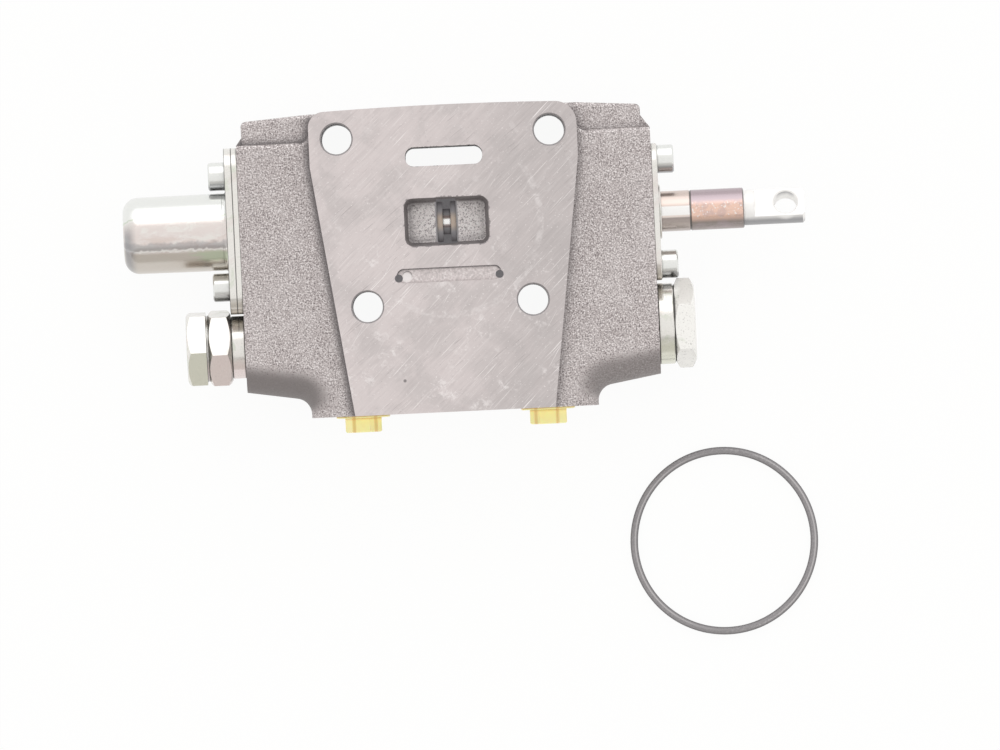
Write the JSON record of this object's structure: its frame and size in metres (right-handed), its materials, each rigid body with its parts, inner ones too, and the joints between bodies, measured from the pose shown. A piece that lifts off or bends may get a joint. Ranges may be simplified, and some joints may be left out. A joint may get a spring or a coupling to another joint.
{
  "type": "hydraulic valve section",
  "caption": "Cast directional control valve section with a sliding spool, spring cap, port relief valve, check valve plug and a separate seal ring.",
  "frame": {"origin": "on the rear mating face, straight under the spool axis, in the section's mid plane", "axes": "+X along the spool towards its tongue, +Z along the tie rods away from the rear mating face, +Y away from the work ports"},
  "size_m": [0.2358, 0.1879, 0.04],
  "materials": {
    "cast_iron_body": "as cast, faces ground",
    "spool_steel": "ground, heat tinted band",
    "plated_steel": "clear zinc plate",
    "screw_steel": "zinc plate",
    "inner_steel": "ground",
    "spring_steel": "drawn wire",
    "seal_rubber": "matt",
    "yellow_plastic": "moulded"
  },
  "bodies": {
    "housing": {"valve_body": "cast_iron_body", "left_seal_plate": "plated_steel", "right_seal_plate": "plated_steel", "spring_cap": "plated_steel", "relief_cartridge": "plated_steel", "relief_cap": "plated_steel", "relief_cap_washer": "plated_steel", "check_plug": "plated_steel", "cap_screws": "screw_steel", "plate_screws": "screw_steel", "relief_adjuster": "inner_steel", "inner_centring_spring": "spring_steel", "outer_centring_spring": "spring_steel", "relief_spring": "spring_steel", "check_spring": "spring_steel", "left_spool_seal": "seal_rubber", "right_spool_seal": "seal_rubber", "relief_nose_ring": "seal_rubber", "section_ring": "seal_rubber", "left_port_plug": "yellow_plastic", "right_port_plug": "yellow_plastic"},
    "spool_group": {"spool": "spool_steel", "centring_collar": "inner_steel", "tail_screw": "screw_steel"},
    "relief_poppet_body": {"relief_poppet": "inner_steel"},
    "check_poppet_body": {"check_poppet": "inner_steel"}
  },
  "joints": [
    {"name": "spool_slide", "type": "slide", "parent": "housing", "child": "spool_group", "axis": [1, 0, 0], "range_m": [-0.0065, 0.0065], "stiffness_N_per_m": 8000, "deforming": ["inner_centring_spring", "outer_centring_spring"]},
    {"name": "relief_lift", "type": "slide", "parent": "housing", "child": "relief_poppet_body", "axis": [-1, 0, 0], "range_m": [0, 0.0015], "stiffness_N_per_m": 20000, "deforming": ["relief_spring"]},
    {"name": "check_lift", "type": "slide", "parent": "housing", "child": "check_poppet_body", "axis": [1, 0, 0], "range_m": [0, 0.003], "stiffness_N_per_m": 400, "deforming": ["check_spring"]}
  ]
}
